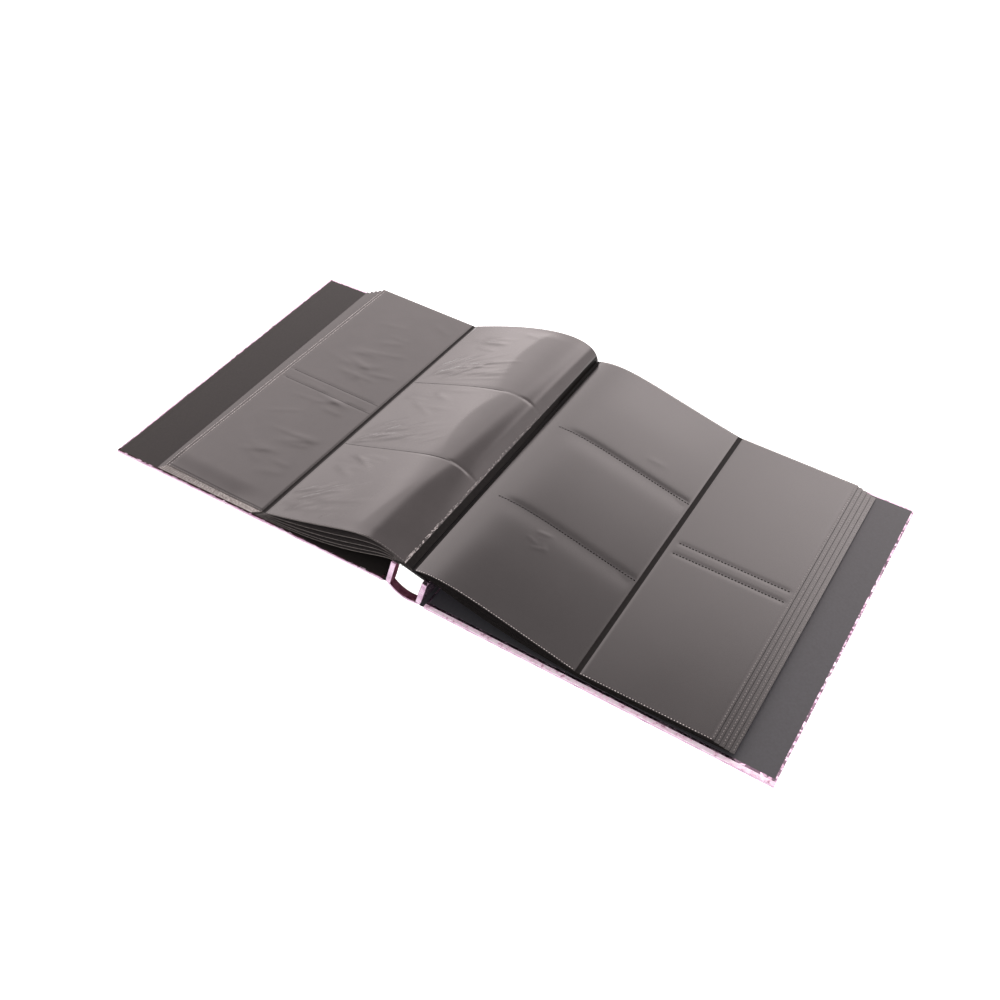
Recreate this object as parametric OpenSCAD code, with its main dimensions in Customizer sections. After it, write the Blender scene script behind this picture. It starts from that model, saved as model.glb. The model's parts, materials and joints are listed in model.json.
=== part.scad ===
// Slip-in photo album, lying open on a table.
// Millimetres. X runs across the open album, Y along the spine, Z up from the table.
// Front pieces lie to the left of the spine and back pieces to the right.

/* [Covers] */
// Width of one cover, from its joint to its outer edge
cover_w = 310; // [260:1:360]
// Height of a cover, along the spine
cover_h = 325; // [285:1:365]
// Thickness of the grey board inside a cover
board_t = 2.2; // [1.6:0.1:4]
// Thickness of the foil paper that wraps the boards
wrap_t = 0.4; // [0.2:0.05:0.8]
// Thickness of the black paper that lines a cover
endpaper_t = 0.4; // [0.2:0.05:0.8]
// Width of the foil that shows around the lining paper
turn_in_w = 2.5; // [1.5:0.5:12]

/* [Spine] */
// Width of the spine over its two upright strips
spine_w = 36; // [30:1:60]
// Height of the upright strips above the joints
strip_h = 30; // [22:1:42]
// Thickness of the board inside an upright strip
strip_t = 4.2; // [2:0.1:5]
// Depth of the rounded spine below the joints
spine_sag = 7; // [5:0.5:10]
// Thickness of the spine card
card_t = 1.6; // [0.8:0.1:2.4]
// Thickness of the white paper inside the spine
lining_t = 0.3; // [0.2:0.05:0.6]
// How far the white paper stays back from the spine's two ends
lining_inset = 7.5; // [1:0.5:12]
// Gap between the rounded spine and the table
spine_lift = 0.3; // [0.1:0.1:1]

/* [Joints] */
// Width of the flexible foil between the turning line and the cover's edge
joint_w = 2.5; // [1.5:0.1:5]
// Gap between a strip's outer face and the turning line of its cover
hinge_offset = 0.5; // [0.3:0.1:1.5]
// Gap between the joint's foil and the cover's edge
joint_clear = 0.3; // [0.2:0.05:0.6]

/* [Binding] */
// Thickness of the bar that holds the roots of the leaves
bar_t = 3; // [2.2:0.1:6]
// Distance between the roots of neighbouring leaves
root_pitch = 2.6; // [2.5:0.1:2.8]
// Distance from the middle of the spine to the first root
root_inset = 1.2; // [0.8:0.1:2]
// How deep a leaf's root sits in its groove
root_depth = 1.5; // [0.8:0.1:1.8]
// Gap around a root in its groove
groove_clear = 0.3; // [0.2:0.05:0.4]
// Gap between the top of the bar and the bend of a leaf above it
root_clear = 0.6; // [0.5:0.1:1.2]

/* [Leaves] */
// How far a cover reaches past the ends of the leaves
cover_overhang = 5; // [3.5:0.5:10]
// Straight length of the lowest leaf from its root to its crease
inner_w = 163; // [135:1:178]
// How much less the top leaf reaches, because of its hump
hump_take = 4; // [0:0.5:6]
// Length of a leaf from its crease to its outer edge
outer_w = 116; // [90:1:130]
// Thickness of a leaf's black sheet
sheet_t = 0.3; // [0.2:0.05:0.4]
// Thickness of a pocket's film
film_t = 0.15; // [0.1:0.05:0.2]
// Distance between neighbouring leaves where they lie flat
leaf_pitch = 1.5; // [1.3:0.1:2]
// Gap between the lowest leaf and the cover under it
stack_gap = 0.5; // [0.3:0.1:1.5]
// Width of the bare strip along a leaf's crease
strip_w = 5; // [3:0.5:10]
// Gap between the two panels of a leaf at the crease
crease_gap = 0.6; // [0.4:0.1:1]

/* [Pockets] */
// Width of the welded margin around a page
edge_w = 3; // [2:0.5:6]
// Width of the weld between two pockets by the spine
weld_w = 2; // [1:0.5:5]
// Width of the band between the two outer pockets
band_w = 13; // [4:0.5:16]

/* [Leaf curves] */
// How far the top front leaf reaches out from its root before it turns over
front_rise_top = 50; // [46:1:54]
// How far the lowest front leaf reaches out from its root before it turns over
front_rise_low = 18; // [15:1:21]
// How far the top back leaf reaches out from its root before it turns over
back_rise_top = 30; // [26:1:34]
// How far the lowest back leaf reaches out from its root before it turns over
back_rise_low = 14; // [12:1:17]
// Lean of the top front leaf at its root, away from the strips
front_lean_angle = 65; // [58:1:66]
// Lean of the top back leaf at its root, away from the strips
back_lean_angle = 57; // [52:1:62]
// Lean of the lowest leaves at their roots, away from the strips
low_lean_angle = 63; // [58:1:66]
// Slope of the top front leaf at its crease
front_slope_angle = 18; // [15:1:20]
// Slope of the top back leaf at its crease
back_slope_angle = 18; // [15:1:20]
// Slope of the lowest leaves at their creases
low_slope_angle = 3; // [1:0.5:5]
// Length over which a leaf keeps its slope above the crease
slope_run = 110; // [100:1:120]

/* [Hidden] */
$fn = 96;
leaf_count = 5;
inner_rows = 3;
outer_rows = 2;
curve_steps = 20;
film_start = 3;

cover_t = wrap_t + board_t + endpaper_t;
leaf_t = sheet_t + 2 * film_t;
leaf_h = cover_h - 2 * cover_overhang;
half_w = spine_w / 2;
inner_half = half_w - strip_t - 2 * wrap_t;
hinge_u = half_w + hinge_offset;

// The spine's outer face is an arc through the feet of the two strips.
arc_r = (half_w * half_w + spine_sag * spine_sag) / (2 * spine_sag);
arc_up = arc_r - spine_sag;

// The spine rolls over towards the back cover until its round face rests on the table.
spine_tilt = atan2(hinge_u, arc_up) - acos((arc_r - cover_t + spine_lift) / norm([hinge_u, arc_up]));

// The front cover slopes from its raised joint down to the table.
front_hinge_z = cover_t + 2 * hinge_u * sin(spine_tilt);
cover_reach = joint_w + cover_w;
front_tilt = asin(front_hinge_z / norm([cover_reach, cover_t])) - atan2(cover_t, cover_reach);
back_hinge_x = (2 * hinge_u * cos(spine_tilt) + cover_reach * (cos(front_tilt) - 1)) / 2;
front_hinge_x = back_hinge_x - 2 * hinge_u * cos(spine_tilt);

// Each side has its name, the spine's lean seen from its cover, and its leaves' rises, lean and slope.
FRONT = 0;
BACK = 1;
side_name = ["front", "back"];
side_lean = [spine_tilt + front_tilt, -spine_tilt];
side_rise_low = [front_rise_low, back_rise_low];
side_rise_top = [front_rise_top, back_rise_top];
side_lean_top = [front_lean_angle, back_lean_angle];
side_slope_top = [front_slope_angle, back_slope_angle];

foil = [0.86, 0.72, 0.82];
board_grey = [0.62, 0.58, 0.52];
paper_black = [0.14, 0.13, 0.13];
paper_white = [0.94, 0.94, 0.93];
sheet_black = [0.10, 0.09, 0.09];
film_grey = [0.43, 0.41, 0.41];

leaf_pieces = ["inner_sheet", "outer_sheet", "inner_pockets", "outer_pockets"];
function leaf_node(side, i, piece) = str(side_name[side], "_leaf_", i, "_", piece);

function mix(low, high, share) = low + (high - low) * share;
function unit(v) = v / norm(v);
function upper_side(v) = [-v.y, v.x];

// Leaf 1 lies on the cover and the last leaf is the open page.
function leaf_share(i) = (i - 1) / (leaf_count - 1);
function root_u(i) = root_inset + (leaf_count - i) * root_pitch;
function leaf_level(i) = stack_gap + leaf_t / 2 + (i - 1) * leaf_pitch;

// A point of the spine, seen from the turning line of one side's cover.
function from_cover(side, u, w) = let (a = side_lean[side])
    [(u - hinge_u) * cos(a) - w * sin(a), (u - hinge_u) * sin(a) + w * cos(a)];
function spine_up(side) = [-sin(side_lean[side]), cos(side_lean[side])];
function root_point(side, i) = from_cover(side, root_u(i), strip_h + root_clear);
function leaf_reach(i) = inner_w - hump_take * leaf_share(i);
function crease_point(side, i) = let (root = root_point(side, i), level = leaf_level(i))
    [root.x + sqrt(pow(leaf_reach(i), 2) - pow(root.y - level, 2)), level];

// A leaf bends over the bar at its root, turns over and slopes down to its crease.
function leaf_rise(side, i) = mix(side_rise_low[side], side_rise_top[side], leaf_share(i));
function leaf_lean(side, i) = mix(low_lean_angle, side_lean_top[side], leaf_share(i)) - side_lean[side];
function leaf_slope(side, i) = mix(low_slope_angle, side_slope_top[side], pow(leaf_share(i), 3));
function leaf_curve(side, i) = let (
    root = root_point(side, i),
    crease = crease_point(side, i),
    lean = leaf_lean(side, i),
    slope = leaf_slope(side, i))
    [root,
     root + leaf_rise(side, i) * [sin(lean), cos(lean)],
     crease + slope_run * [-cos(slope), sin(slope)],
     crease];
function curve_at(c, t) = pow(1 - t, 3) * c[0] + 3 * pow(1 - t, 2) * t * c[1]
    + 3 * (1 - t) * pow(t, 2) * c[2] + pow(t, 3) * c[3];
function curve_way(c, t) = unit(pow(1 - t, 2) * (c[1] - c[0]) + 2 * (1 - t) * t * (c[2] - c[1])
    + pow(t, 2) * (c[3] - c[2]));

// Stations along a leaf's curve: even steps up to the end of its film, then the end of its sheet.
film_end = 1 - strip_w / (6 * slope_run);
sheet_end = 1 - crease_gap / (6 * slope_run);
stations = concat([for (k = [0:curve_steps]) film_end * k / curve_steps], [sheet_end]);
film_stations = [for (k = [film_start:curve_steps]) stations[k]];
function offset_line(c, ts, n) = [for (t = ts) curve_at(c, t) + n * upper_side(curve_way(c, t))];
function reversed(list) = [for (k = [len(list) - 1:-1:0]) list[k]];

// A section in X and Z, drawn out along the spine around the place y.
module along_spine(length, y = 0) {
    translate([0, y, 0]) rotate([90, 0, 0]) linear_extrude(height = length, center = true) children();
}

// Places what is drawn from the turning line of one side's cover.
module on_side(side) {
    if (side == BACK)
        translate([back_hinge_x, 0, cover_t]) children();
    else
        translate([front_hinge_x, 0, front_hinge_z]) rotate([0, -front_tilt, 0]) mirror([1, 0, 0]) children();
}

// Places what is drawn upright around the middle of the spine's feet.
module on_spine() {
    translate([back_hinge_x, 0, cover_t]) rotate([0, spine_tilt, 0]) translate([-hinge_u, 0, 0]) children();
}

module spine_layer(depth, thickness) {
    intersection() {
        translate([0, arc_up]) difference() {
            circle(arc_r - depth);
            circle(arc_r - depth - thickness);
        }
        translate([-half_w, -2 * arc_r]) square([spine_w, 2 * arc_r]);
    }
}

module spine_outline() {
    translate([-half_w, 0]) square([spine_w, strip_h]);
    intersection() {
        translate([0, arc_up]) circle(arc_r);
        translate([-half_w, -2 * arc_r]) square([spine_w, 2 * arc_r + wrap_t]);
    }
}

// The board inside a cover.
module cover_board(side) {
    color(board_grey) on_side(side) along_spine(cover_h - 2 * wrap_t)
        translate([joint_w + wrap_t, wrap_t - cover_t]) square([cover_w - 2 * wrap_t, board_t]);
}

// The black paper that lines a cover inside the frame of foil.
module endpaper(side) {
    color(paper_black) on_side(side) along_spine(cover_h - 2 * turn_in_w)
        translate([joint_w + turn_in_w, -endpaper_t]) square([cover_w - 2 * turn_in_w, endpaper_t]);
}

// The foil paper around a cover's board, turned in over all four edges.
module cover_wrap(side) {
    color(foil) difference() {
        on_side(side) along_spine(cover_h)
            translate([joint_w, -cover_t]) square([cover_w, cover_t]);
        cover_board(side);
        endpaper(side);
    }
}

module spine_card() {
    color(board_grey) on_spine() along_spine(cover_h - 2 * wrap_t) spine_layer(wrap_t, card_t);
}

// The white paper in the hollow spine: over the rounded card and up the strips to the bar.
module spine_lining() {
    color(paper_white) on_spine() along_spine(cover_h - 2 * lining_inset) {
        spine_layer(wrap_t + card_t, lining_t);
        for (left = [-inner_half, inner_half - lining_t]) intersection() {
            translate([left, -arc_r]) square([lining_t, arc_r + strip_h - bar_t]);
            translate([0, arc_up]) circle(arc_r - wrap_t - card_t);
        }
    }
}

// The foil paper outside the spine card, turned over the card's two ends up to the white paper.
module spine_wrap() {
    color(foil) on_spine() difference() {
        along_spine(cover_h) spine_layer(0, wrap_t + card_t + lining_t);
        along_spine(cover_h - 2 * wrap_t) spine_layer(wrap_t, card_t);
        along_spine(cover_h - 2 * lining_inset) spine_layer(wrap_t + card_t, lining_t);
    }
}

// The board inside an upright strip, on the right of the spine or mirrored to its left.
module strip_core() {
    along_spine(cover_h - 2 * wrap_t)
        translate([half_w - wrap_t - strip_t, 0]) square([strip_t, strip_h - wrap_t]);
}

module strip_board(side) {
    color(board_grey) on_spine() mirror([side == FRONT ? 1 : 0, 0, 0]) strip_core();
}

// The foil paper around an upright strip, open at the strip's foot.
module strip_wrap(side) {
    color(foil) on_spine() mirror([side == FRONT ? 1 : 0, 0, 0]) difference() {
        along_spine(cover_h) translate([inner_half, 0]) square([half_w - inner_half, strip_h]);
        strip_core();
    }
}

// The bar between the strips, with a groove for the root of each leaf.
module binding_bar() {
    groove_w = sheet_t + 2 * groove_clear;
    groove_h = root_depth + groove_clear;
    color(sheet_black) on_spine() along_spine(leaf_h) difference() {
        translate([-inner_half, strip_h - bar_t]) square([2 * inner_half, bar_t]);
        for (i = [1:leaf_count], way = [-1, 1])
            translate([way * root_u(i) - groove_w / 2, strip_h - groove_h]) square([groove_w, groove_h + bar_t]);
    }
}

// The flexible foil that runs from the spine's foot towards a cover.
module hinge_foil(side) {
    color(foil) on_side(side) along_spine(cover_h) difference() {
        translate([-2 * hinge_offset, -wrap_t]) square([2 * hinge_offset + joint_w - joint_clear, wrap_t]);
        rotate(side_lean[side]) translate([-hinge_u, 0]) spine_outline();
    }
}

// The black sheet of a leaf from its root in the bar to its crease.
module inner_sheet(side, i) {
    c = leaf_curve(side, i);
    root = c[0] - (root_clear + root_depth) * spine_up(side);
    across = upper_side(spine_up(side)) * sheet_t / 2;
    color(sheet_black) on_side(side) along_spine(leaf_h) polygon(concat(
        [root + across], offset_line(c, stations, sheet_t / 2),
        reversed(offset_line(c, stations, -sheet_t / 2)), [root - across]));
}

// The black sheet of a leaf from its crease to its outer edge.
module outer_sheet(side, i) {
    color(sheet_black) on_side(side) along_spine(leaf_h)
        translate(crease_point(side, i) + [crease_gap / 2, -sheet_t / 2])
            square([outer_w - crease_gap / 2, sheet_t]);
}

// Rows of pockets along the spine, with a gap between one row and the next.
module rows(count, gap) {
    row_h = (leaf_h - 2 * edge_w - (count - 1) * gap) / count;
    for (k = [0:count - 1])
        along_spine(row_h, (k - (count - 1) / 2) * (row_h + gap)) children();
}

// The landscape pockets by the spine, on both faces of a leaf.
module inner_pockets(side, i) {
    c = leaf_curve(side, i);
    color(film_grey) on_side(side) for (face = [-1, 1])
        rows(inner_rows, weld_w) polygon(concat(
            offset_line(c, film_stations, face * sheet_t / 2),
            reversed(offset_line(c, film_stations, face * leaf_t / 2))));
}

// The upright pockets at the outer edge, on both faces of a leaf.
module outer_pockets(side, i) {
    film_w = outer_w - strip_w / 2 - edge_w;
    color(film_grey) on_side(side) for (face = [-1, 1])
        rows(outer_rows, band_w)
            translate(crease_point(side, i) + [strip_w / 2, face * (sheet_t + film_t) / 2 - film_t / 2])
                square([film_w, film_t]);
}

cover_board(BACK);  // back_cover_board
cover_wrap(BACK);  // back_cover_wrap
endpaper(BACK);  // back_endpaper
cover_board(FRONT);  // front_cover_board
cover_wrap(FRONT);  // front_cover_wrap
endpaper(FRONT);  // front_endpaper
spine_card();
spine_lining();
spine_wrap();
strip_board(FRONT);  // front_strip_board
strip_wrap(FRONT);  // front_strip_wrap
strip_board(BACK);  // back_strip_board
strip_wrap(BACK);  // back_strip_wrap
binding_bar();
hinge_foil(FRONT);  // front_hinge_foil
hinge_foil(BACK);  // back_hinge_foil
for (side = [FRONT, BACK], i = [1:leaf_count]) {
    inner_sheet(side, i);
    outer_sheet(side, i);
    inner_pockets(side, i);
    outer_pockets(side, i);
}
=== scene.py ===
import json
import math

import bpy
import numpy as np
from mathutils import Matrix, Quaternion, Vector


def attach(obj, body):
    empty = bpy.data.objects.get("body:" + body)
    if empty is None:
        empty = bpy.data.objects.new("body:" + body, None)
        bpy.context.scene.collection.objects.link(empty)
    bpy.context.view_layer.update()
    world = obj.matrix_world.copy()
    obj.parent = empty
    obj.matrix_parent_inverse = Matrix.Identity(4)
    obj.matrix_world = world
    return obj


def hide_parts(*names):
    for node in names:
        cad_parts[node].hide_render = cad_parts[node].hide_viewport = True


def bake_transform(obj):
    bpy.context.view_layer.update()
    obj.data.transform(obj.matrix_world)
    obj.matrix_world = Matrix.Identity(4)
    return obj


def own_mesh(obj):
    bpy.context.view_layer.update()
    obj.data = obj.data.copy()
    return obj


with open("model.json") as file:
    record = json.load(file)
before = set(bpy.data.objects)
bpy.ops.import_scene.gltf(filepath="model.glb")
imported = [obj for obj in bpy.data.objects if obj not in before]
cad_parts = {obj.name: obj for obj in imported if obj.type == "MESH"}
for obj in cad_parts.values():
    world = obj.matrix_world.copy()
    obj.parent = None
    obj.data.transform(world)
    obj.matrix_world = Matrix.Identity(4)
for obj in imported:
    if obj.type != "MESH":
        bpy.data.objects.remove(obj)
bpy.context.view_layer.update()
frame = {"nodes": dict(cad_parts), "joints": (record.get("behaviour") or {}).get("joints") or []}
bpy.ops.object.select_all(action="DESELECT")
mm = 0.001

# Camera: it stands in front of the open album and to its right, and looks down on the gutter.
camera_turn = math.radians(31.87)
camera_height = math.radians(46.2)
camera_distance = 1.014
camera_roll = 0.006
camera_target = Vector((0.0082, -0.0236, 0.0011))
camera_back = Vector((
    math.sin(camera_turn) * math.cos(camera_height),
    -math.cos(camera_turn) * math.cos(camera_height),
    math.sin(camera_height)))
bpy.ops.object.camera_add(
    location=camera_target + camera_distance * camera_back,
    rotation=((-camera_back).to_track_quat("-Z", "Y") @ Quaternion((0, 0, 1), camera_roll)).to_euler())
camera = bpy.context.object
camera.data.lens = 40.36
camera.data.sensor_width = 36
bpy.context.scene.camera = camera


# Floor and light: a white floor, a bright screen behind the album and to its left, a dim room overhead
# and in front, and one broad soft lamp by the camera. The film and the foil mirror the screen.
def new_material(name):
    material = bpy.data.materials.new(name)
    material.use_nodes = True
    return material, material.node_tree.nodes["Principled BSDF"]


def add_node(tree, kind, **values):
    node = tree.nodes.new(kind)
    for key, value in values.items():
        node.inputs[key.replace("_", " ")].default_value = value
    return node


def set_ramp(ramp, stops):
    elements = ramp.color_ramp.elements
    while len(elements) < len(stops):
        elements.new(1)
    for element, (place, colour) in zip(elements, stops):
        element.position = place
        element.color = (*colour, 1)


bpy.context.scene.view_settings.view_transform = "Standard"
world = bpy.data.worlds.new("studio")
bpy.context.scene.world = world
world.use_nodes = True
sky = world.node_tree
sky_way = sky.nodes.new("ShaderNodeTexCoord")
screen = None
for dark_way, screen_end, dark_start, left_over in (
        ((-0.595, 0.379, 0.709), 0.728, 1.0, 0.457),
        ((0.14, -0.27, 0.953), 0.465, 0.637, 0.0),
        ((0.287, -0.576, -0.765), -0.809, -0.629, 0.255)):
    lean = sky.nodes.new("ShaderNodeVectorMath")
    lean.operation = "DOT_PRODUCT"
    lean.inputs[1].default_value = dark_way
    edge = add_node(
        sky, "ShaderNodeMapRange", From_Min=screen_end, From_Max=dark_start, To_Min=1.0,
        To_Max=left_over)
    edge.interpolation_type = "SMOOTHSTEP"
    sky.links.new(sky_way.outputs["Generated"], lean.inputs[0])
    sky.links.new(lean.outputs["Value"], edge.inputs["Value"])
    both = sky.nodes.new("ShaderNodeMath")
    both.operation = "MULTIPLY"
    both.inputs[1].default_value = 1.0
    sky.links.new(edge.outputs["Result"], both.inputs[0])
    if screen:
        sky.links.new(screen.outputs["Value"], both.inputs[1])
    screen = both
sky_ramp = sky.nodes.new("ShaderNodeValToRGB")
set_ramp(sky_ramp, [(0, (0.156, 0.140, 0.140)), (1, (1.0, 0.90, 0.895))])
sky.links.new(screen.outputs["Value"], sky_ramp.inputs[0])
sky.links.new(sky_ramp.outputs["Color"], sky.nodes["Background"].inputs["Color"])
sky.nodes["Background"].inputs["Strength"].default_value = 3.4

lamp_place = Vector((0.7, -1.3, 1.5))
bpy.ops.object.light_add(
    type="AREA", location=lamp_place, rotation=(-lamp_place).to_track_quat("-Z", "Y").to_euler())
lamp = bpy.context.object
lamp.data.shape = "SQUARE"
lamp.data.size = 1.4
lamp.data.energy = 8

bpy.ops.mesh.primitive_plane_add(size=8)
floor = bpy.context.object
floor.name = "floor"
floor_white, floor_shader = new_material("floor_white")
floor_tint = add_node(floor_white.node_tree, "ShaderNodeTexNoise", Scale=3.0)
floor_ramp = floor_white.node_tree.nodes.new("ShaderNodeValToRGB")
set_ramp(floor_ramp, [(0.3, (0.94, 0.94, 0.94)), (0.7, (0.96, 0.96, 0.96))])
floor_white.node_tree.links.new(floor_tint.outputs["Fac"], floor_ramp.inputs[0])
floor_white.node_tree.links.new(floor_ramp.outputs["Color"], floor_shader.inputs["Base Color"])
floor_shader.inputs["Roughness"].default_value = 0.9
floor_shader.inputs["Emission Color"].default_value = (1, 1, 1, 1)
floor_shader.inputs["Emission Strength"].default_value = 0.9
floor.data.materials.append(floor_white)


# Boards: grey board pressed from waste paper, in the two covers, the spine and its two upright strips.
# The foil is glued round them and hides them.
def noise_colour(material, shader, scale, detail, stops):
    """Colour that varies with a noise over the piece's own coordinates."""
    tree = material.node_tree
    place = tree.nodes.new("ShaderNodeTexCoord")
    noise = add_node(tree, "ShaderNodeTexNoise", Scale=scale, Detail=detail)
    ramp = tree.nodes.new("ShaderNodeValToRGB")
    set_ramp(ramp, stops)
    tree.links.new(place.outputs["Object"], noise.inputs["Vector"])
    tree.links.new(noise.outputs["Fac"], ramp.inputs[0])
    tree.links.new(ramp.outputs["Color"], shader.inputs["Base Color"])
    return place


def add_bump(material, shader, place, scale, detail, strength, depth):
    """Fine grain in the surface."""
    tree = material.node_tree
    noise = add_node(tree, "ShaderNodeTexNoise", Scale=scale, Detail=detail)
    bump = add_node(tree, "ShaderNodeBump", Strength=strength, Distance=depth)
    tree.links.new(place.outputs["Object"], noise.inputs["Vector"])
    tree.links.new(noise.outputs["Fac"], bump.inputs["Height"])
    tree.links.new(bump.outputs["Normal"], shader.inputs["Normal"])


def finish_node(name, material):
    node = frame["nodes"][name]
    node.data.materials.clear()
    node.data.materials.append(material)


greyboard, greyboard_shader = new_material("greyboard")
greyboard_place = noise_colour(
    greyboard, greyboard_shader, 900, 4, [(0.3, (0.20, 0.18, 0.15)), (0.7, (0.33, 0.30, 0.26))])
add_bump(greyboard, greyboard_shader, greyboard_place, 1500, 3, 0.4, 0.0002)
greyboard_shader.inputs["Roughness"].default_value = 0.9
for board in ("back_cover_board", "front_cover_board", "spine_card", "front_strip_board",
              "back_strip_board"):
    finish_node(board, greyboard)

# Cover wraps: lilac metallic foil paper, glued round each board and turned in over its four edges.
# The foil is crinkled all over, so it breaks what it mirrors into bright and dark flakes. Along the
# near edges the turned-in foil lies in pale folds on the back cover, a painted highlight with a slight
# glow, and in maroon flakes of painted shade on the front, where it mirrors the dark leaves.
cover_w = 310 * mm
cover_h = 325 * mm
cover_t = 3 * mm
joint_w = 2.5 * mm
foil_margin = 1.9 * mm
endpaper_t = 0.15 * mm
edge_round = 0.5 * mm
long_edge = 200 * mm
wrap_cuts = (150, 216)
turn_in_shown = 4.5 * mm
turn_in_rim = 0.4 * mm
shade_flake_waves = ((1900, 0), (830, 1), (3700, 2))
shade_flake_level = -0.5
joints = {joint["name"]: joint for joint in frame["joints"]}

foil, foil_shader = new_material("lilac_foil")
foil_tree = foil.node_tree
foil_place = noise_colour(foil, foil_shader, 90, 3, [
    (0.30, (0.40, 0.25, 0.36)), (0.45, (0.52, 0.37, 0.48)),
    (0.60, (0.58, 0.44, 0.55)), (0.75, (0.62, 0.51, 0.60))])
foil_cells = add_node(foil_tree, "ShaderNodeTexVoronoi", Scale=340.0)
foil_from_cell = foil_tree.nodes.new("ShaderNodeVectorMath")
foil_from_cell.operation = "SUBTRACT"
foil_tilt = foil_tree.nodes.new("ShaderNodeVectorMath")
foil_tilt.operation = "SUBTRACT"
foil_tilt.inputs[1].default_value = (0.5, 0.5, 0.5)
foil_height = foil_tree.nodes.new("ShaderNodeVectorMath")
foil_height.operation = "DOT_PRODUCT"
foil_bump = add_node(foil_tree, "ShaderNodeBump", Strength=1.0, Distance=0.5)
foil_tree.links.new(foil_place.outputs["Object"], foil_cells.inputs["Vector"])
foil_tree.links.new(foil_place.outputs["Object"], foil_from_cell.inputs[0])
foil_tree.links.new(foil_cells.outputs["Position"], foil_from_cell.inputs[1])
foil_tree.links.new(foil_cells.outputs["Color"], foil_tilt.inputs[0])
foil_tree.links.new(foil_from_cell.outputs[0], foil_height.inputs[0])
foil_tree.links.new(foil_tilt.outputs[0], foil_height.inputs[1])
foil_tree.links.new(foil_height.outputs["Value"], foil_bump.inputs["Height"])
foil_tree.links.new(foil_bump.outputs["Normal"], foil_shader.inputs["Normal"])
foil_shader.inputs["Metallic"].default_value = 1.0
foil_shader.inputs["Roughness"].default_value = 0.22

# Pale foil: a painted highlight with a slight painted glow, for turned-in foil that mirrors the bright
# floor.
foil_painted_highlight, foil_painted_highlight_shader = new_material("pale_foil")
foil_painted_highlight_place = noise_colour(foil_painted_highlight, foil_painted_highlight_shader, 260, 4, [
    (0.32, (0.42, 0.18, 0.30)), (0.41, (0.88, 0.62, 0.77)),
    (0.52, (0.97, 0.80, 0.92)), (0.72, (0.98, 0.90, 0.98))])
add_bump(foil_painted_highlight, foil_painted_highlight_shader, foil_painted_highlight_place, 420, 3, 0.8, 0.0012)
foil_painted_highlight_shader.inputs["Metallic"].default_value = 0.12
foil_painted_highlight_shader.inputs["Roughness"].default_value = 0.4
foil_painted_highlight_shader.inputs["Emission Color"].default_value = (1, 0.78, 0.93, 1)
foil_painted_highlight_shader.inputs["Emission Strength"].default_value = 0.14

# Maroon foil is painted shade: it stands for foil that lies in shade or mirrors dark parts, and reflects
# nothing itself.
foil_shade, foil_shade_shader = new_material("maroon_foil")
foil_shade_place = noise_colour(
    foil_shade, foil_shade_shader, 200, 3, [(0.3, (0.045, 0.012, 0.020)), (0.7, (0.110, 0.040, 0.062))])
add_bump(foil_shade, foil_shade_shader, foil_shade_place, 700, 2, 0.3, 0.0004)
foil_shade_shader.inputs["Specular IOR Level"].default_value = 0.0
foil_shade_shader.inputs["Roughness"].default_value = 0.7


def hinge_frame(side):
    """From a cover's own axes (out from its joint, along the spine, up) to the album's."""
    if side == "back":
        return Matrix.Translation(joints["spine_hinge"]["pos_m"])
    slope = joints["spine_hinge"]["range_deg"][1] + joints["front_cover_hinge"]["range_deg"][1] - 180
    place = Matrix.Translation(joints["front_cover_hinge"]["pos_m"])
    return place @ Matrix.Rotation(math.radians(-slope), 4, "Y") @ Matrix.Rotation(math.pi, 4, "Z")


def rounded_box(name, low, high, round_r, segments):
    """A box between two corners, with all its edges rounded over."""
    bpy.ops.object.select_all(action="DESELECT")
    low, high = Vector(low), Vector(high)
    bpy.ops.mesh.primitive_cube_add(size=1, location=(low + high) / 2, scale=high - low)
    box = bpy.context.object
    box.name = name
    bpy.ops.object.transform_apply(location=True, rotation=True, scale=True)
    bpy.ops.object.mode_set(mode="EDIT")
    bpy.ops.mesh.select_all(action="SELECT")
    bpy.ops.mesh.bevel(offset=round_r, segments=segments, affect="EDGES")
    bpy.ops.object.mode_set(mode="OBJECT")
    return box


def select_in(box, kind, chosen):
    """Selects the faces or edges of a mesh for which chosen says yes."""
    bpy.context.tool_settings.mesh_select_mode = (False, kind == "edges", kind == "polygons")
    for part in (box.data.vertices, box.data.edges, box.data.polygons):
        part.foreach_set("select", np.zeros(len(part), bool))
    for item in getattr(box.data, kind):
        item.select = chosen(item)


def cut_long_edges(box, axis, longest, cuts):
    """Cuts every edge that runs along one axis and is longer than a size into equal pieces."""
    points = box.data.vertices

    def runs_along(edge):
        span = points[edge.vertices[1]].co - points[edge.vertices[0]].co
        return abs(span[axis]) > longest and abs(span[axis]) > 0.99 * span.length

    select_in(box, "edges", runs_along)
    bpy.ops.object.mode_set(mode="EDIT")
    bpy.ops.mesh.subdivide(number_cuts=cuts)
    bpy.ops.object.mode_set(mode="OBJECT")


def crinkle(piece, size, depth):
    """Pushes the foil in and out in small uneven facets."""
    texture = bpy.data.textures.new(piece.name + "_crinkle", "CLOUDS")
    texture.noise_type = "HARD_NOISE"
    texture.noise_scale = size
    push = piece.modifiers.new("crinkle", "DISPLACE")
    push.texture = texture
    push.texture_coords = "LOCAL"
    push.strength = depth
    push.mid_level = 0.3
    bpy.context.view_layer.objects.active = piece
    bpy.ops.object.modifier_apply(modifier=push.name)


def shade_faces(piece, others, chosen):
    """Lilac foil all over, and other materials on the faces for which chosen gives their number."""
    for material in (foil, *others):
        piece.data.materials.append(material)
    for face in piece.data.polygons:
        face.material_index = int(chosen(face))


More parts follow.
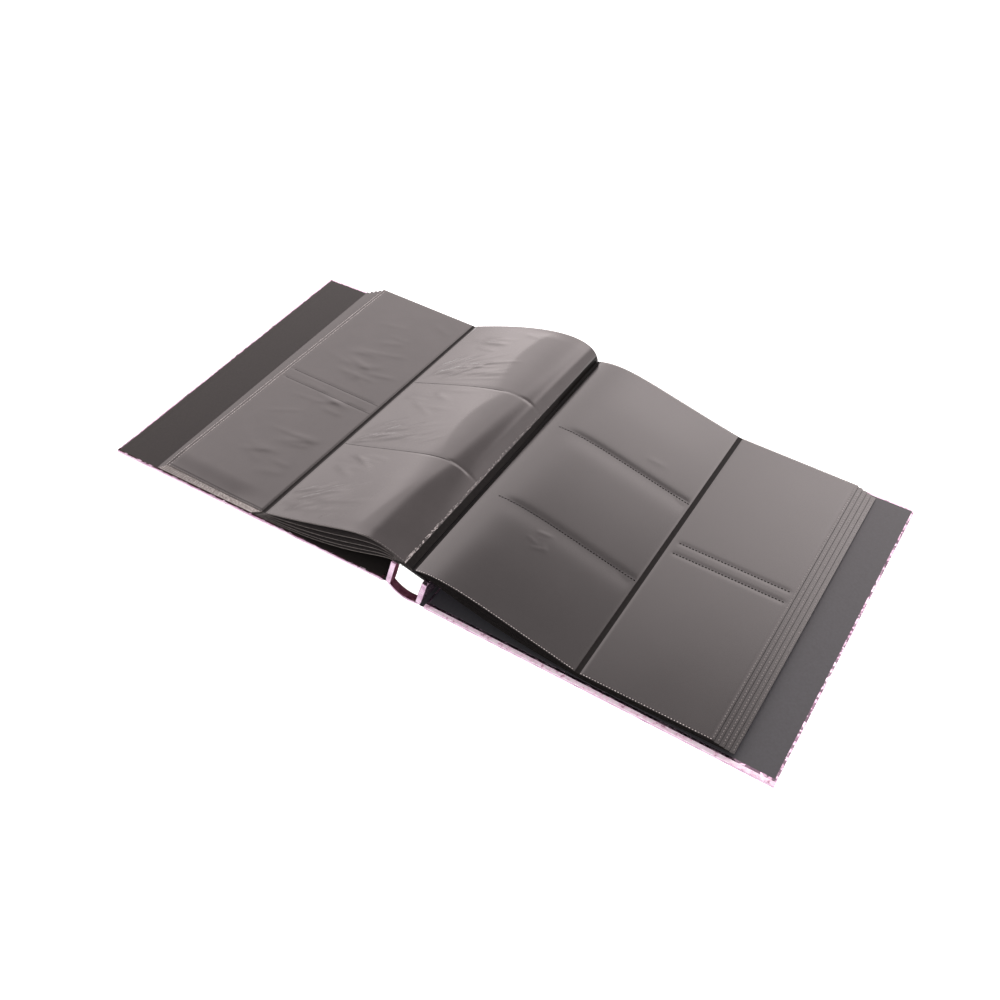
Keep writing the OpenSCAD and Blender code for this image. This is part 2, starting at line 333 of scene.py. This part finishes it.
def near_turn_in(face, side):
    """Number of a face's foil: 0 lilac, by the near edge 1 pale painted highlight or 2 maroon painted
    shade.
    """
    from_edge = cover_h / 2 + face.center.y * (1 if side == "back" else -1)
    if face.normal.z < 0.3 or from_edge > turn_in_shown:
        return 0
    if side == "back":
        return 1
    # On the front cover the turn-in gets maroon flakes of painted shade, where it mirrors the dark
    # leaves.
    shade_flakes = sum(math.sin(turns * face.center.x + shift) for turns, shift in shade_flake_waves)
    return 2 if from_edge > turn_in_rim and shade_flakes > shade_flake_level else 0


def smooth(piece, angle=40):
    bpy.ops.object.select_all(action="DESELECT")
    piece.select_set(True)
    bpy.context.view_layer.objects.active = piece
    bpy.ops.object.shade_smooth_by_angle(angle=math.radians(angle))


for side in ("back", "front"):
    wrap = rounded_box(
        side + "_cover_foil", (joint_w, -cover_h / 2, -cover_t),
        (joint_w + cover_w, cover_h / 2, -endpaper_t), round_r=edge_round, segments=3)
    for axis, cuts in enumerate(wrap_cuts):
        cut_long_edges(wrap, axis, long_edge, cuts)
    crinkle(wrap, size=6 * mm, depth=0.25 * mm)
    shade_faces(wrap, (foil_painted_highlight, foil_shade), lambda face: near_turn_in(face, side))
    wrap.data.transform(hinge_frame(side))
    smooth(wrap)
    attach(wrap, side + "_cover")
    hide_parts(side + "_cover_wrap")

# Endpapers: black satin paper, glued down inside the frame of foil on each cover.
# The same paper is painted lighter and bluer on the back cover, a painted sheen, and darker on the
# front.
endpapers = {}
for side, near, near_margin, dark, light, gloss in (
        ("back", -1, 6 * mm, (0.052, 0.054, 0.060), (0.060, 0.063, 0.071), 0.5),
        ("front", 1, 1.5 * mm, (0.020, 0.018, 0.017), (0.026, 0.023, 0.022), 0.25)):
    endpaper, endpaper_shader = new_material(side + "_black_endpaper")
    endpapers[side] = endpaper
    endpaper_place = noise_colour(endpaper, endpaper_shader, 500, 5, [(0.3, dark), (0.7, light)])
    add_bump(endpaper, endpaper_shader, endpaper_place, 2600, 3, 0.06, 0.0001)
    endpaper_shader.inputs["Roughness"].default_value = 0.42
    endpaper_shader.inputs["Specular IOR Level"].default_value = gloss
    reach = sorted((near * (cover_h / 2 - near_margin), -near * (cover_h / 2 - foil_margin)))
    paper = rounded_box(
        side + "_endpaper_sheet", (joint_w + foil_margin, reach[0], -2 * endpaper_t),
        (joint_w + cover_w - foil_margin, reach[1], 0), round_r=0.05 * mm, segments=1)
    paper.data.transform(hinge_frame(side))
    paper.data.materials.append(endpaper)
    smooth(paper)
    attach(paper, side + "_cover")
    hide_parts(side + "_endpaper")

# Spine: a rounded card with white paper on its inside and foil on its outside. The foil goes over
# the card's two ends and a little way back along the inside, up to the white paper.
spine_half = 18 * mm
spine_end = cover_h / 2
spine_sag = 7 * mm
card_t = 1.6 * mm
lining_inset = 7.5 * mm
foil_t = 0.35 * mm
hinge_u = 18.5 * mm
strip_h = 30 * mm
strip_in = 13 * mm
arc_r = (spine_half ** 2 + spine_sag ** 2) / (2 * spine_sag)
arc_up = arc_r - spine_sag
spine_tilt = math.radians(90 - joints["spine_hinge"]["range_deg"][1])
spine_frame = (
    Matrix.Translation(joints["spine_hinge"]["pos_m"])
    @ Matrix.Rotation(spine_tilt, 4, "Y") @ Matrix.Translation((-hinge_u, 0, 0)))

lining, lining_shader = new_material("white_lining")
lining_place = noise_colour(
    lining, lining_shader, 300, 4, [(0.3, (0.86, 0.86, 0.85)), (0.7, (0.93, 0.93, 0.92))])
add_bump(lining, lining_shader, lining_place, 2000, 3, 0.2, 0.0001)
lining_shader.inputs["Roughness"].default_value = 0.7
# Painted light: the white paper glows a little, as if it were lit inside the hollow of the spine.
lining_shader.inputs["Emission Color"].default_value = (1, 1, 1, 1)
lining_shader.inputs["Emission Strength"].default_value = 0.55
finish_node("spine_lining", lining)


def sheet_through(name, points):
    """A sheet of quads through rows of points."""
    rows, columns = points.shape[:2]
    bpy.ops.object.select_all(action="DESELECT")
    bpy.ops.mesh.primitive_grid_add(x_subdivisions=columns - 1, y_subdivisions=rows - 1, size=2)
    sheet = bpy.context.object
    sheet.name = name
    place = np.empty(len(sheet.data.vertices) * 3)
    sheet.data.vertices.foreach_get("co", place)
    place = place.reshape(-1, 3)
    column = np.rint((place[:, 0] + 1) / 2 * (columns - 1)).astype(int)
    row = np.rint((place[:, 1] + 1) / 2 * (rows - 1)).astype(int)
    sheet.data.vertices.foreach_set("co", points[row, column].ravel())
    sheet.data.update()
    return sheet


def thicken(sheet, thickness, offset, rim=0):
    """Gives a sheet its thickness, to one side or around its middle.

    rim is the step from the sheet's material to that of its edges.
    """
    solid = sheet.modifiers.new("thickness", "SOLIDIFY")
    solid.thickness = thickness
    solid.offset = offset
    solid.use_even_offset = True
    solid.material_offset_rim = rim
    bpy.context.view_layer.objects.active = sheet
    bpy.ops.object.modifier_apply(modifier=solid.name)


arc_half = math.asin(spine_half / arc_r)
spine_angles = np.linspace(-arc_half, arc_half, 33)
inner_r = arc_r - card_t - 2 * foil_t
spine_lengths = np.linspace(-spine_end, spine_end, 110)
near_end = [
    (lining_inset - spine_end, inner_r), (foil_t - spine_end, inner_r), (-spine_end, inner_r + foil_t),
    (-spine_end, arc_r - foil_t)]
far_end = [(-y, r) for y, r in reversed(near_end)]
spine_path = near_end + [(y, arc_r) for y in spine_lengths[1:-1]] + far_end
spine_points = np.array([
    [(r * math.sin(a), y, arc_up - r * math.cos(a)) for a in spine_angles] for y, r in spine_path])
spine_foil = sheet_through("spine_foil", spine_points)
thicken(spine_foil, foil_t, offset=1)
crinkle(spine_foil, size=8 * mm, depth=0.2 * mm)
# Inside the hollow the foil's inner faces get the maroon foil: painted shade.
shade_faces(spine_foil, (foil_shade,), lambda face: (
    math.hypot(face.center.x, face.center.z - arc_up) < arc_r - card_t / 2
    and abs(face.normal.y) < 0.6))
spine_foil.data.transform(spine_frame)
smooth(spine_foil)
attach(spine_foil, "spine")
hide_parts("spine_wrap")

# Upright strips: two stiff boards that stand on the spine's edges, each wrapped in the same foil. They
# carry the bar with the leaves and leave the hollow of the spine open between them.
for side, way in (("front", -1), ("back", 1)):
    ends = sorted((way * strip_in, way * spine_half))
    strip = rounded_box(
        side + "_strip_foil", (ends[0], -spine_end, 0), (ends[1], spine_end, strip_h),
        round_r=0.6 * mm, segments=3)
    cut_long_edges(strip, axis=1, longest=long_edge, cuts=110)
    cut_long_edges(strip, axis=2, longest=20 * mm, cuts=12)
    crinkle(strip, size=8 * mm, depth=0.3 * mm)
    # The strips' faces towards the hollow get the maroon foil: painted shade.
    shade_faces(strip, (foil_shade,), lambda face: face.normal.x * way < -0.6)
    strip.data.transform(spine_frame)
    smooth(strip)
    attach(strip, "spine")
    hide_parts(side + "_strip_wrap")

# Binding bar: a black plastic bar glued between the strips, which clamps the roots of the leaves.
black_plastic, black_plastic_shader = new_material("black_plastic")
black_plastic_place = noise_colour(
    black_plastic, black_plastic_shader, 600, 3,
    [(0.3, (0.010, 0.010, 0.010)), (0.7, (0.018, 0.017, 0.017))])
add_bump(black_plastic, black_plastic_shader, black_plastic_place, 1800, 2, 0.15, 0.0001)
black_plastic_shader.inputs["Roughness"].default_value = 0.45
black_plastic_shader.inputs["Specular IOR Level"].default_value = 0.05
finish_node("binding_bar", black_plastic)

# Cover joints: the foil between the spine and each cover, with the black paper of the cover run over
# its inside. It is pressed into a shallow groove.
groove_depth = 0.5 * mm
joint_level = -0.25 * mm
joint_in = -1.6 * mm
joint_out = joint_w + 0.3 * mm


def mix(low, high, share):
    return low + (high - low) * share


for side in ("back", "front"):
    shares = np.linspace(0, 1, 9)
    lengths = np.linspace(-spine_end, spine_end, 90)
    joint_points = np.array([[
        (mix(joint_in, joint_out, s), y, joint_level - groove_depth * math.sin(math.pi * s) ** 2)
        for s in shares] for y in lengths])
    joint_foil = sheet_through(side + "_joint_foil", joint_points)
    thicken(joint_foil, foil_t, offset=0)
    crinkle(joint_foil, size=5 * mm, depth=0.12 * mm)
    joint_frame = hinge_frame(side)
    shade_faces(joint_foil, (endpapers[side],), lambda face: face.normal.z > -0.5)
    joint_foil.data.transform(joint_frame)
    smooth(joint_foil)
    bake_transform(joint_foil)
    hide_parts(side + "_hinge_foil")

# Leaves: black polypropylene sheets, five on each side, clamped by their roots in the bar. Each bends
# over the bar, falls in a hump to a scored crease and lies nearly flat from there to its outer edge.
# The far end of the front leaves stands a little higher and further to the right than the near end.
leaf_count = 5
leaf_half = 157.5 * mm
outer_w = 116 * mm
sheet_t = 0.3 * mm
root_depth = 2.1 * mm
curve_samples = 300
droop_across = 22 * mm
droop_along = 0.35
panel_steps = {"inner": 41, "outer": 13}

# A leaf's values lie between the lowest leaf's and the top one's: rise and lean of its curve at the
# root, then run and slope at the crease. Lengths are in millimetres, angles in degrees.
leaf_shape = {
    "front": {
        "way": -1, "slip": -0.75, "droop": 0.9, "bunch": 1.7,
        "low": {"near": (18, 60, 110, 1), "far": (15, 14, 110, 3)},
        "top": {"near": (58, 63, 120, 17), "far": (22, 11, 115, 24)},
        "crease_shift": {"near": ((0, 0), (-3, -3)), "far": ((6, 3.3), (14.2, 4.3))},
        "edge_lift": {"near": (0, 3.5), "far": (3.3, 5.3)}},
    "back": {
        "way": 1, "slip": 0, "droop": 0, "bunch": 3,
        "low": {"near": (14, 79, 110, 3), "far": (14, 79, 110, 3)},
        "top": {"near": (33, 73, 88, 14), "far": (33, 73, 96, 12.5)},
        "crease_shift": {"near": ((0, 2), (-3.4, 1.1)), "far": ((0, 0), (-4, 2.1))},
        "edge_lift": {"near": (3.2, 1.5), "far": (0.5, -1.5)}}}


def step(low, high, value):
    """Smooth step from 0 at low to 1 at high."""
    t = np.clip((value - low) / (high - low), 0, 1)
    return t * t * (3 - 2 * t)


def leaf_rows(side, i, along, across):
    """Points and upward normals of a leaf between root (0) and crease (1), a row for each place y."""
    shape = leaf_shape[side]
    way = shape["way"]
    share = (i - 1) / (leaf_count - 1)
    far = (across + leaf_half) / (2 * leaf_half)
    ends = {}
    for end in ("near", "far"):
        low, top = np.array(shape["low"][end], float), np.array(shape["top"][end], float)
        shift = mix(*(np.array(v, float) for v in shape["crease_shift"][end]), share)
        shares = (share, share, share, share ** shape["bunch"])
        ends[end] = np.concatenate([mix(low, top, shares), shift])
    rise, lean, run, slope, shift_x, shift_z = mix(ends["near"][:, None], ends["far"][:, None], far)
    stem = "%s_leaf_%d" % (side, i)
    root = np.array(joints[stem + "_root"]["pos_m"])[[0, 2]]
    crease = np.array(joints[stem + "_crease"]["pos_m"])[[0, 2]]
    lean, slope = np.radians(lean), np.radians(slope)
    bend = root + (rise * mm * np.array([way * np.sin(lean), np.cos(lean)])).T
    end = crease + np.stack([shift_x, shift_z], 1) * mm
    hold = end + (run * mm * np.array([-way * np.cos(slope), np.sin(slope)])).T
    t = np.linspace(0, 1, curve_samples)[None, :, None]
    curve = (
        (1 - t) ** 3 * root + 3 * (1 - t) ** 2 * t * bend[:, None]
        + 3 * (1 - t) * t ** 2 * hold[:, None] + t ** 3 * end[:, None])
    steps = np.linalg.norm(np.diff(curve, axis=1), axis=2)
    length = np.concatenate([np.zeros((len(across), 1)), np.cumsum(steps, 1)], 1)
    points = np.empty((len(across), len(along), 3))
    normals = np.zeros_like(points)
    for row, y in enumerate(across):
        reach = along * length[row, -1]
        x = np.interp(reach, length[row], curve[row, :, 0])
        z = np.interp(reach, length[row], curve[row, :, 1])
        dx = np.interp(reach, length[row], np.gradient(curve[row, :, 0]))
        dz = np.interp(reach, length[row], np.gradient(curve[row, :, 1]))
        size = np.hypot(dx, dz)
        slip = shape["slip"] * (leaf_count - i) * mm
        points[row] = np.stack([x, np.full_like(x, y + slip), z], 1)
        normals[row, :, 0] = -way * dz / size
        normals[row, :, 2] = way * dx / size
    return points, normals, length[:, -1]


def edge_rows(side, i, along, across):
    """Points and normals of a leaf between its crease (0) and its outer edge (1)."""
    shape = leaf_shape[side]
    share = (i - 1) / (leaf_count - 1)
    start, _, _ = leaf_rows(side, i, np.array([1.0]), across)
    turn = hinge_frame(side).to_3x3()
    out, up = np.array(turn.col[0]), np.array(turn.col[2])
    far = (across + leaf_half) / (2 * leaf_half)
    near_lift, far_lift = (mix(*shape["edge_lift"][end], share) for end in ("near", "far"))
    lift = mix(near_lift, far_lift, far) * mm
    droop = shape["droop"] * share * mm * (1 - step(0, droop_across, across + leaf_half))
    rise = lift[:, None] * along - droop[:, None] * step(0, droop_along, along)
    points = start + along[None, :, None] * outer_w * out + rise[:, :, None] * up
    return points, np.broadcast_to(up, points.shape).copy(), np.full(len(across), outer_w)


def flatten(piece, side, i, panel):
    """Puts a piece of a leaf on its panel's body, with a mesh of its own."""
    stem = "%s_leaf_%d" % (side, i)
    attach(piece, stem + "_" + panel)
    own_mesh(piece)


black_sheet, black_sheet_shader = new_material("black_sheet")
black_sheet_place = noise_colour(
    black_sheet, black_sheet_shader, 350, 4,
    [(0.3, (0.010, 0.009, 0.009)), (0.7, (0.016, 0.015, 0.014))])
add_bump(black_sheet, black_sheet_shader, black_sheet_place, 2200, 3, 0.2, 0.0001)
black_sheet_shader.inputs["Roughness"].default_value = 0.3
black_sheet_shader.inputs["Specular IOR Level"].default_value = 0.09

# Cut edges of the leaves: one material in three painted shades for how light falls on them, light beige
# on the front leaves' outer panels, darker on their inner ones and black in shade on the back leaves.
edge_tint = Vector((1, 0.93, 0.88))
cut_edges_painted_light = {}
for place, edge_low, edge_high in (
        ("front_outer", 0.26, 0.40), ("front_inner", 0.07, 0.15), ("back", 0.006, 0.012)):
    cut_edges_painted_light[place], edge_shader = new_material(place + "_cut_edge")
    noise_colour(cut_edges_painted_light[place], edge_shader, 300, 3, [
        (0.3, edge_tint * edge_low), (0.7, edge_tint * edge_high)])
    edge_shader.inputs["Roughness"].default_value = 0.5
    edge_shader.inputs["Specular IOR Level"].default_value = 0.0

panel_rows = {"inner": leaf_rows, "outer": edge_rows}
sheet_across = np.linspace(-leaf_half, leaf_half, 25)
for side in ("front", "back"):
    for i in range(1, leaf_count + 1):
        stem = "%s_leaf_%d" % (side, i)
        for panel in ("inner", "outer"):
            sheet_along = np.linspace(0, 1, panel_steps[panel])
            points, _, _ = panel_rows[panel](side, i, sheet_along, sheet_across)
            if panel == "inner":
                down = points[:, :1] - root_depth * np.array(spine_frame.to_3x3().col[2])
                points = np.concatenate([down, points], 1)
            if side == "front":
                points = points[::-1]
            backing = sheet_through("%s_%s_backing" % (stem, panel), points)
            backing.data.materials.append(black_sheet)
            backing.data.materials.append(cut_edges_painted_light["back" if side == "back" else "front_" + panel])
            thicken(backing, sheet_t, offset=0, rim=1)
            smooth(backing)
            flatten(backing, side, i, panel)
            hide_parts("%s_%s_sheet" % (stem, panel))

# Pocket films: clear satin film on both faces of a leaf, welded to the black sheet so that it forms
# three landscape pockets by the spine and two upright ones at the outer edge. A bare strip of sheet is
# left along the crease. The open pages puff up between the welds, and the front one is wrinkled.
film_t = 0.15 * mm
strip_half = 2.4 * mm
film_root = {"front": 6 * mm, "back": 2 * mm}
panel_span = {"inner": 163 * mm, "outer": outer_w}
film_tint = Vector((1, 0.91, 0.91))

films = {}
# The same film has a lighter base on the front leaves than on the back ones: painted light.
for side, blur, gloss, base_and_painted_light in (("front", 0.15, 0.64, 0.054), ("back", 0.21, 0.8, 0.024)):
    films[side], film_shader = new_material(side + "_satin_film")
    film_place = noise_colour(films[side], film_shader, 40, 3, [
        (0.3, film_tint * base_and_painted_light * 0.92), (0.7, film_tint * base_and_painted_light * 1.08)])
    add_bump(films[side], film_shader, film_place, 900, 2, 0.04, 0.0002)
    film_shader.inputs["Roughness"].default_value = blur
    film_shader.inputs["Specular IOR Level"].default_value = gloss
    film_shader.inputs["Coat Weight"].default_value = 0.45
    film_shader.inputs["Coat Roughness"].default_value = 0.12

# Weld marks: dark ones; light ones, partly the weld line's own colour and partly a painted sheen; and
# painted highlights, glints of light along the gutter and on rims and edges.
welds = {}
for kind, scale, detail, stops, blur, gloss in (
        ("dark", 800, 2, [(0.3, (0.006, 0.005, 0.005)), (0.7, (0.012, 0.011, 0.011))], 0.7, 0.05),
        ("light", 500, 3, [(0.35, (0.12, 0.11, 0.11)), (0.65, (0.26, 0.24, 0.235))], 0.25, 0.5),
        ("bright", 500, 3, [(0.35, (0.42, 0.38, 0.37)), (0.65, (0.90, 0.86, 0.84))], 0.25, 0.5)):
    welds[kind], weld_shader = new_material("weld_" + kind)
    noise_colour(welds[kind], weld_shader, scale, detail, stops)
    weld_shader.inputs["Roughness"].default_value = blur
    weld_shader.inputs["Specular IOR Level"].default_value = gloss


def valley(distance, far_side, near_side):
    """Dip of a film towards a weld, wider on one side than on the other."""
    width = np.where(distance > 0, far_side, near_side)
    return np.exp(-(distance / width) ** 2)


def ridges(x, y, lines):
    """Wrinkles: each has its start, direction, length, width and height in millimetres."""
    height = np.zeros(np.broadcast(x, y).shape)
    for start_x, start_y, angle, length, width, peak in lines:
        c, s = math.cos(math.radians(angle)), math.sin(math.radians(angle))
        run = (x - start_x) * c + (y - start_y) * s
        off = -(x - start_x) * s + (y - start_y) * c
        taper = step(0, 0.3 * length, run) * (1 - step(0.5 * length, length, run))
        height += peak * taper * np.exp(-(off / width) ** 2)
    return height


# Relief of the open pages' film, in millimetres on the flat page: where the seams lie, how wide and deep
# they dip, over which distances from the strip and from the other end they fade in, and from where to
# where their weld marks run.
page_half = 157.5
seam_places = {"inner": (-51.8, 51.8), "outer": (-6.5, 6.5)}
seam_dips = {
    ("front", "inner"): (2.2, 1.4, 0.17), ("front", "outer"): (2.2, 1.4, 0.17),
    ("back", "inner"): (4.5, 12, 0.30), ("back", "outer"): (3.0, 2.6, 0.13)}
seam_fades = {
    ("front", "inner"): ((0, 5), (0, 3)), ("front", "outer"): ((4, 9), (2, 9)),
    ("back", "inner"): ((0, 5), (8, 34)), ("back", "outer"): ((4, 9), (2, 9))}
seam_reach = {
    ("front", "inner"): (30, 159), ("front", "outer"): (6, 108),
    ("back", "inner"): (17, 160), ("back", "outer"): (10, 112)}
film_rest = 0.25
film_least = 0.02
puff_reach = 60
edge_weld_in, edge_weld_w, edge_weld_dip = 3.2, 1.1, 0.10

draw = np.random.default_rng(7)
front_inner_lines = [
    (44, 66, 20, 63, 2.4, 0.16), (45, 61, 18, 62, 2.2, 0.14), (69, 146, -16, 33, 2.6, 0.12),
    (58, -41, 38, 47, 2.6, 0.16), (75, -42, 33, 37, 2.2, 0.14), (37, -157, 45, 44, 2.8, 0.16),
    (58, -152, 45, 16, 1.8, 0.10), (61, -42, 29, 35, 2.2, 0.14)]
for seam in (-152, -50, 54):
    for k in range(20):
        front_inner_lines.append((
            draw.uniform(2, 34), seam + draw.uniform(0, 30), draw.uniform(6, 40), draw.uniform(40, 80),
            draw.uniform(1.4, 3.4), draw.uniform(0.10, 0.42)))
    for k in range(6):
        front_inner_lines.append((
            draw.uniform(6, 50), seam + draw.uniform(60, 92), draw.uniform(-30, 4), draw.uniform(30, 60),
            draw.uniform(1.8, 3.6), draw.uniform(0.10, 0.32)))
front_outer_lines = [
    (draw.uniform(4, 60), draw.uniform(-150, 140), draw.uniform(-30, 32), draw.uniform(30, 60),
     draw.uniform(2.2, 4.2), draw.uniform(0.08, 0.24)) for k in range(34)]
back_inner_lines = [
    (94, -66, 165, 20, 1.6, 0.07), (98, -74, 192, 18, 1.5, 0.06), (90, -84, 152, 20, 1.8, 0.07),
    (82, -72, 228, 14, 1.5, 0.05), (60, 72, 172, 30, 3.0, 0.05)]
page_lines = {
    ("front", "inner"): front_inner_lines, ("front", "outer"): front_outer_lines,
    ("back", "inner"): back_inner_lines, ("back", "outer"): []}


def hump_fold(b, v):
    """Soft fold of the front page's film over the hump, one to each pocket. b runs from the root."""
    first_seam, seam_pitch = 155.4, 103.6
    pocket_pitch, pocket_half = 104.65, 52.8
    near_fold, middle_fold, far_fold = 44, 40, 48
    bow, blunt, width, height = 14, 2, 20, 1.2
    pocket = np.clip(np.floor((v + first_seam) / seam_pitch), 0, 2)
    u = (v - (pocket - 1) * pocket_pitch) / pocket_half
    arch = 1 - u ** 2
    bowed = np.where(pocket == 1, middle_fold, far_fold) + bow * arch
    place = np.where(pocket == 0, near_fold - bow * u, bowed)
    off = np.sqrt((b - place) ** 2 + blunt ** 2) - blunt
    rim = leaf_half / mm - np.abs(v)
    return height * np.exp(-off / width) * (0.3 + 0.7 * arch) * step(0, 14, rim)


def page_relief(side, panel, from_strip, to_end, y):
    """Height of the open page's film over its sheet, in metres.

    from_strip and to_end are distances along the page, from the bare strip and to the page's other end.
    """
    a, b, v = from_strip / mm, to_end / mm, y / mm
    rim = leaf_half / mm - np.abs(v)
    if panel == "inner":
        b = b - film_root[side] / mm
    strip_fade, end_fade = seam_fades[(side, panel)]
    seam_shows = step(*strip_fade, a) * step(*end_fade, b)
    wide, narrow, depth = seam_dips[(side, panel)]
    body = step(0, puff_reach, a) * step(0, puff_reach, b) * step(0, puff_reach, rim)
    height = film_rest + depth * body
    for place in seam_places[panel]:
        height = height - depth * valley(v - place, wide, narrow) * seam_shows
    if panel == "outer":
        height = height - edge_weld_dip * np.exp(-((b - edge_weld_in) / edge_weld_w) ** 2)
    elif side == "front":
        height = height + hump_fold(b, v)
    height = height + ridges(a, v, page_lines[(side, panel)]) * step(3, 10, rim) * step(1, 8, a)
    height = height * step(-0.5, 2.5, a) * step(-0.5, 1.2, rim)
    return np.maximum(height, film_least) * mm


def spread(low, high, coarse, fine, centres, reach):
    """Places from low to high in coarse steps, with fine steps within reach of some centres."""
    places = [low]
    while places[-1] < high - 1e-9:
        near = any(abs(places[-1] - c) < reach for c in centres)
        places.append(min(high, places[-1] + (fine if near else coarse)))
    return np.array(places)


def film_points(side, i, panel, along, across, face):
    """Film over one face of a leaf, from the crease's bare strip outwards or inwards."""
    points, normals, length = panel_rows[panel](side, i, along, across)
    lift = np.full(points.shape[:2], sheet_t / 2 + film_t)
    if i == leaf_count and face > 0:
        reach = along[None, :] * length[:, None]
        if panel == "inner":
            from_strip, to_end = length[:, None] - strip_half - reach, reach
        else:
            from_strip, to_end = reach - strip_half, length[:, None] - reach
        lift = lift + page_relief(side, panel, from_strip, to_end, across[:, None])
    return points + face * lift[:, :, None] * normals


weld_half_t = 0.05 * mm


def weld_row(side, i, panel, along, across, way, length, width):
    """Corners of rows of weld marks on a film's upper face, along the page (0) or the spine (1)."""
    _, normals, _ = panel_rows[panel](side, i, along, across)
    middle = film_points(side, i, panel, along, across, 1).reshape(-1, 1, 3)
    normals = normals.reshape(-1, 1, 3)
    spine_way = np.broadcast_to([0, 1.0, 0], normals.shape)
    page_way = np.cross(spine_way, normals)
    run, off = (page_way, spine_way) if way == 0 else (spine_way, page_way)
    corners = [(s, t, h) for h in (-1, 1) for s, t in ((-1, -1), (1, -1), (1, 1), (-1, 1))]
    s, t, h = (np.array(c)[None, :, None] for c in zip(*corners))
    return middle + s * length / 2 * run + t * width / 2 * off + h * weld_half_t * normals


def weld_marks(name, rows, material):
    """One piece made of many small flat marks."""
    corners = np.concatenate(rows)
    sides = ((0, 3, 2, 1), (4, 5, 6, 7), (0, 1, 5, 4), (1, 2, 6, 5), (2, 3, 7, 6), (3, 0, 4, 7))
    mesh = bpy.data.meshes.new(name)
    faces = [[8 * k + c for c in side] for k in range(len(corners)) for side in sides]
    mesh.from_pydata(corners.reshape(-1, 3), [], faces)
    mesh.materials.append(material)
    marks = bpy.data.objects.new(name, mesh)
    bpy.context.collection.objects.link(marks)
    return marks


def every(low, high, pitch):
    return np.arange(low, high, pitch) * mm


weld_pitch = 3.0
rim_pitch = 2.5
rim_in = 0.8 * mm
edge_dots_in = 1.6 * mm
edge_lines_in = np.array([0.3, 3.0]) * mm
near_dashes_in = 2.6 * mm
near_bars_in = 0.4 * mm
glint_count = 300
mark_sizes = {
    "rim dot": (1.1, 0.45), "edge dot": (1.4, 0.6), "edge line": (3, 0.3), "near dash": (1.2, 0.7),
    "near bar": (4, 0.8), "back seam": (1.7, 1.1), "front seam": (2, 0.35)}


def film_welds(side, i, panel, low, high):
    """Rows of dark and light weld marks (light partly painted sheen) and painted highlights on a film
    from low to high.
    """
    span = panel_span[panel]
    is_page = i == leaf_count
    seams = np.array(seam_places[panel]) * mm
    rows = {"dark": [], "light": [], "bright": []}

    def add(kind, along, across, way, length, width):
        rows[kind].append(weld_row(side, i, panel, along / span, across, way, length * mm, width * mm))

    if is_page:
        add("light" if side == "front" else "bright", every(low / mm + 1, high / mm - 1, rim_pitch),
            np.array([-1, 1]) * (leaf_half - rim_in), 0, *mark_sizes["rim dot"])
    if panel == "outer" and side == "back":
        add("light", np.array([span - edge_dots_in]), every(-154, 154, weld_pitch), 1,
            *mark_sizes["edge dot"])
    if panel == "outer" and side == "front" and is_page:
        add("bright", span - edge_lines_in, every(-156, 157, 3), 1, *mark_sizes["edge line"])
        add("dark", every(4, 113, 1.7), np.array([near_dashes_in - leaf_half]), 0,
            *mark_sizes["near dash"])
    if panel == "outer" and side == "front" and not is_page:
        add("bright", every(4, 114, 4), np.array([near_bars_in - leaf_half]), 0, *mark_sizes["near bar"])
    if is_page:
        pitch = weld_pitch if side == "back" else mark_sizes["front seam"][0]
        add("dark", every(*seam_reach[(side, panel)], pitch), seams, 0, *mark_sizes[side + " seam"])
    if is_page and side == "front" and panel == "inner":
        # Painted highlights: glints of light along the front page's gutter, more and larger ones at its
        # near end.
        for k in range(glint_count):
            place = draw.triangular(-157, -157, 90)
            size = 1 + 0.4 * (place < -110)
            add("bright", np.array([low + draw.uniform(0.2, 2.4) * mm]), np.array([place]) * mm, 1,
                draw.uniform(0.4, 1.2) * size, draw.uniform(0.12, 0.30) * size)
    return rows


def film_grid(i, panel, low, high, face):
    """Places along and across a film: close together on the open page, where its relief needs it."""
    if i < leaf_count or face < 0:
        return np.linspace(low, high, panel_steps[panel]) / panel_span[panel], sheet_across
    ends = (low / mm, high / mm)
    along = spread(*ends, coarse=1.5, fine=0.5, centres=ends, reach=4) * mm / panel_span[panel]
    centres = (*seam_places[panel], -156, 156)
    return along, spread(-page_half, page_half, coarse=1.5, fine=0.6, centres=centres, reach=6) * mm


for side in ("front", "back"):
    for i in range(1, leaf_count + 1):
        for panel in ("inner", "outer"):
            stem = "%s_leaf_%d_%s" % (side, i, panel)
            low, high = strip_half, panel_span[panel]
            if panel == "inner":
                low, high = film_root[side], high - strip_half
            faces = []
            for face in (1, -1):
                points = film_points(side, i, panel, *film_grid(i, panel, low, high, face), face)
                if (side == "front") == (face > 0):
                    points = points[::-1]
                part = sheet_through(stem + "_film", points)
                part.data.materials.append(black_sheet if i == 1 and face < 0 else films[side])
                part.data.materials.append(cut_edges_painted_light["back" if side == "back" else "front_" + panel])
                thicken(part, film_t, offset=-1, rim=1)
                faces.append(part)
            for kind, rows in film_welds(side, i, panel, low, high).items():
                if rows:
                    faces.append(weld_marks("%s_%s_welds" % (stem, kind), rows, welds[kind]))
            pocket = faces[0]
            bpy.ops.object.select_all(action="DESELECT")
            for part in faces:
                part.select_set(True)
            bpy.context.view_layer.objects.active = pocket
            bpy.ops.object.join()
            smooth(pocket, angle=50)
            flatten(pocket, side, i, panel)
            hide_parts(stem + "_pockets")
